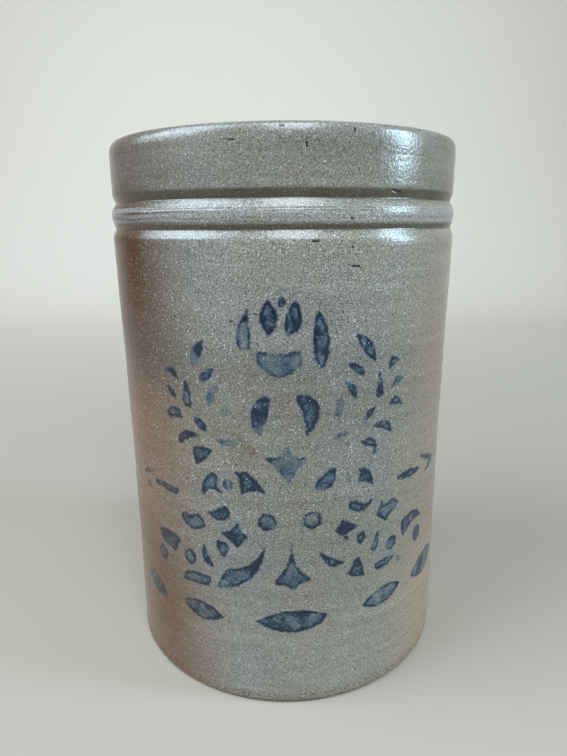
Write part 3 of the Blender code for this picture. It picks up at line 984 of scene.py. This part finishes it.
def stoneware_jar():
    """The jar in one closed skin, which carries the stencil, slip, bare foot, and the groove dirt and painted
    shade, as values.
    """
    inside, outside = inside_profile(), outside_profile()
    profile = np.concatenate([inside, outside])
    angles = front_angles()
    run = np.linalg.norm(np.diff(profile, axis=0), axis=1)
    along = np.concatenate([[0], np.cumsum(run)])
    past_crest = along - along[len(inside) - 1]
    past_heel = along - along[-1 - BASE_ROWS]
    free = np.clip(past_crest / TRUE_RUN, 0, 1) * np.clip(-past_heel / TRUE_RUN, 0, 1)
    swell = free[:, None] * throwing_marks(angles[None, :], profile[:, 1:])
    made, angle, row = turned_mesh("glazed_jar", profile, angles, salt_glaze(), swell=swell)
    angle = (angle + math.pi) % math.tau - math.pi
    depth, body, rim = stencil_values(angle * STENCIL_RADIUS, profile[row, 1], past_crest[row] > 0)
    keep_values(made, "around", angle * STENCIL_RADIUS)
    keep_values(made, "stencil", depth)
    keep_values(made, "pigment", body)
    keep_values(made, "pooled", rim)
    keep_values(made, "past_crest", past_crest[row])
    keep_values(made, "past_heel", past_heel[row])
    keep_values(made, "hollow", groove_hollow(profile[row, 1]) * (past_crest[row] > 0))
    return made


def groove_hollow(height):
    """1 under either groove's overhang and at its bottom, and 0 away from them."""
    hollow = np.zeros_like(height)
    for top, overhang in ((COLLAR_LOW, UPPER_GROOVE_OVERHANG), (BAND_LOW, LOWER_GROOVE_OVERHANG)):
        above = np.clip((top - height) / HOLLOW_TOP_FADE, 0, 1)
        below = np.clip((height - (top - overhang)) / HOLLOW_LOW_FADE + 1, 0, 1)
        hollow = np.maximum(hollow, np.minimum(above, below))
    return hollow


def panel_height(radius):
    """Height of the lid's panel over its flange's underside: a shallow dome."""
    return TIN_THICKNESS + LID_PANEL_HEIGHT + LID_PANEL_DOME * (1 - (radius / LID_PANEL_RADIUS) ** 2)


def lid_face():
    """Radius and height of the lid's upper face from its middle out."""
    bead_inner = LID_PANEL_RADIUS - LID_BEAD_INSET - LID_BEAD_WIDTH
    corner = LID_PANEL_RADIUS - LID_CORNER_ROUND
    radius = np.concatenate([np.linspace(0, bead_inner, 13), np.linspace(bead_inner, corner, 33)[1:]])
    share = np.clip((radius - bead_inner) / LID_BEAD_WIDTH, 0, 1)
    panel = np.stack([radius, panel_height(radius) + LID_BEAD_HEIGHT * np.sin(np.pi * share) ** 2], axis=1)
    rounds = (LID_CORNER_ROUND, LID_CORNER_ROUND)
    foot = (LID_PANEL_RADIUS + LID_CORNER_ROUND, TIN_THICKNESS + LID_CORNER_ROUND)
    top = (corner, panel_height(corner) - LID_CORNER_ROUND)
    return np.concatenate([
        panel,
        rounded(top, rounds, 90, 0, 6),
        line((LID_PANEL_RADIUS, top[1]), (LID_PANEL_RADIUS, foot[1]), 3),
        rounded(foot, rounds, 180, 270, 6),
        line((foot[0], TIN_THICKNESS), (LID_RADIUS - LID_EDGE_RUN, TIN_THICKNESS), 4),
        line((LID_RADIUS - LID_EDGE_RUN, TIN_THICKNESS), (LID_RADIUS, TIN_THICKNESS + LID_EDGE_LIFT), 2),
    ])


def tin_lid():
    """The lid's face and its back, one sheet thickness behind it, in one closed skin."""
    face = lid_face()
    run = np.gradient(face, axis=0)
    run /= np.linalg.norm(run, axis=1, keepdims=True)
    back = face + TIN_THICKNESS * np.stack([run[:, 1], -run[:, 0]], axis=1)
    back[0] = (0.0, face[0, 1] - TIN_THICKNESS)
    profile = np.concatenate([face, back[::-1]]) + (0.0, LID_BASE)
    angles = np.linspace(0, math.tau, LID_SPOKES + 1)[:-1]
    return turned_mesh("pressed_lid", profile, angles, dull_tin())[0]


def wax_seal():
    """The wax ring: it nests in the lid's gutter and its top sags between the walls that it wets."""
    inner, outer = LID_PANEL_RADIUS + CONTACT_GAP, SEAT_RADIUS - CONTACT_GAP
    low = TIN_THICKNESS + CONTACT_GAP
    high = low + WAX_DEPTH
    nest = (LID_PANEL_RADIUS + LID_CORNER_ROUND, TIN_THICKNESS + LID_CORNER_ROUND)
    nest_radii = (LID_CORNER_ROUND - CONTACT_GAP, LID_CORNER_ROUND - CONTACT_GAP)
    share = np.linspace(0, 1, 15)
    sag = WAX_MENISCUS * (1 - (2 * share - 1) ** 2)
    top = np.stack([inner + (outer - inner) * share, high - sag], axis=1)
    profile = np.concatenate([
        top,
        line((outer, high), (outer, low + LID_EDGE_LIFT), 3),
        [(LID_RADIUS, low + LID_EDGE_LIFT), (LID_RADIUS - LID_EDGE_RUN, low)],
        line((LID_RADIUS - LID_EDGE_RUN, low), (nest[0], low), 3),
        rounded(nest, nest_radii, 270, 180, 5),
        line((inner, nest[1]), (inner, high), 3)[:-1],
    ]) + (0.0, LID_BASE)
    angles = np.linspace(0, math.tau, WAX_SPOKES + 1)[:-1]
    ripple = sum(height * np.sin(waves * angles + start) for height, waves, start in WAX_RIPPLES)
    row = np.arange(len(profile))
    on_top = np.where(row < len(top), np.sin(np.pi * row / (len(top) - 1)), 0)
    lift = np.clip(on_top, 0, 1)[:, None] * ripple[None, :]
    return turned_mesh("wax_ring", profile, angles, sealing_wax(), ring=True, lift=lift)[0]


def camera():
    """The photograph's viewpoint: a short lens close to the jar, a little under its rim and looking down."""
    data = bpy.data.cameras.new("view")
    data.sensor_width = SENSOR_WIDTH
    data.lens = SENSOR_WIDTH * FOCAL_PIXELS / max(IMAGE_WIDTH, IMAGE_HEIGHT)
    data.clip_start = 0.01
    made = bpy.data.objects.new("view", data)
    tilt = Matrix.Rotation(math.pi / 2 - CAMERA_PITCH, 4, "X") @ Matrix.Rotation(CAMERA_ROLL, 4, "Z")
    made.matrix_world = Matrix.Translation(Vector(CAMERA_PLACE) * MM) @ tilt
    bpy.context.scene.collection.objects.link(made)
    bpy.context.scene.camera = made


def lamp(name, place, size, watts, colour):
    """A soft rectangular lamp that points at the middle of the jar."""
    data = bpy.data.lights.new(name, "AREA")
    data.shape = "RECTANGLE"
    data.size, data.size_y = size
    data.energy = watts
    data.color = colour
    made = bpy.data.objects.new(name, data)
    made.location = place
    aim = Vector((0, 0, JAR_HEIGHT * MM / 2)) - Vector(place)
    made.rotation_euler = aim.to_track_quat("-Z", "Y").to_euler()
    bpy.context.scene.collection.objects.link(made)


def stage():
    """A pale floor that curves up into a backdrop behind the jar."""
    reach, bend, wall = 1.6, 0.35, 1.4
    back = 0.75
    turn = np.linspace(0, math.pi / 2, 17)
    y = np.concatenate([[-reach], back + bend * np.sin(turn), [back + bend]])
    z = np.concatenate([[0.0], bend - bend * np.cos(turn), [wall]])
    x = np.array([-reach, reach])
    points = np.stack(np.broadcast_arrays(x[None, :], y[:, None], z[:, None]), axis=-1).reshape(-1, 3)
    index = np.arange(len(points)).reshape(len(y), 2)
    faces = np.stack([index[:-1, 0], index[:-1, 1], index[1:, 1], index[1:, 0]], axis=-1)
    mesh = bpy.data.meshes.new("floor")
    mesh.from_pydata(points, [], faces.tolist())
    mesh.shade_smooth()
    floor = Finish("pale_floor")
    behind = floor.node("ShaderNodeSeparateXYZ", None, (floor.place(),), "Y").ramp(0.1, back + bend)
    colour = floor.mix(behind, FLOOR_NEAR, FLOOR_FAR)
    mesh.materials.append(floor.surface(Base_Color=colour, Roughness=0.9))
    made = bpy.data.objects.new("floor", mesh)
    bpy.context.scene.collection.objects.link(made)


def light():
    """Soft daylight: a tall window in front, two wide on the left, a narrow one on the right, and a sky."""
    lamp("front_window", place=(0.09, -0.60, 0.96), size=(0.44, 0.88), watts=11.5, colour=(0.78, 0.90, 1.0))
    lamp("left_window", place=(-0.68, -0.26, 0.92), size=(0.70, 0.60), watts=11.0, colour=(0.70, 0.86, 1.0))
    lamp("left_glow", place=(-0.95, -0.19, 0.66), size=(0.88, 0.36), watts=5.5, colour=(0.72, 0.87, 1.0))
    lamp("right_window", place=(0.78, -0.17, 0.46), size=(0.20, 0.44), watts=6.0, colour=(0.58, 0.84, 1.0))
    world = bpy.data.worlds.new("sky")
    world.use_nodes = True
    sky = world.node_tree.nodes["Background"]
    sky.inputs["Color"].default_value = (*SKY_COLOUR, 1.0)
    sky.inputs["Strength"].default_value = SKY_STRENGTH
    bpy.context.scene.world = world


def main():
    for made, node, body, slot in (
        (stoneware_jar(), "stoneware_jar", "jar", "stoneware"),
        (tin_lid(), "tin_lid", "lid", "tinplate"),
        (wax_seal(), "wax_seal", "wax", "wax"),
    ):
        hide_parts(node)
        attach(made, body)
    stage()
    light()
    camera()
    bpy.context.scene.view_settings.view_transform = "Standard"


main()
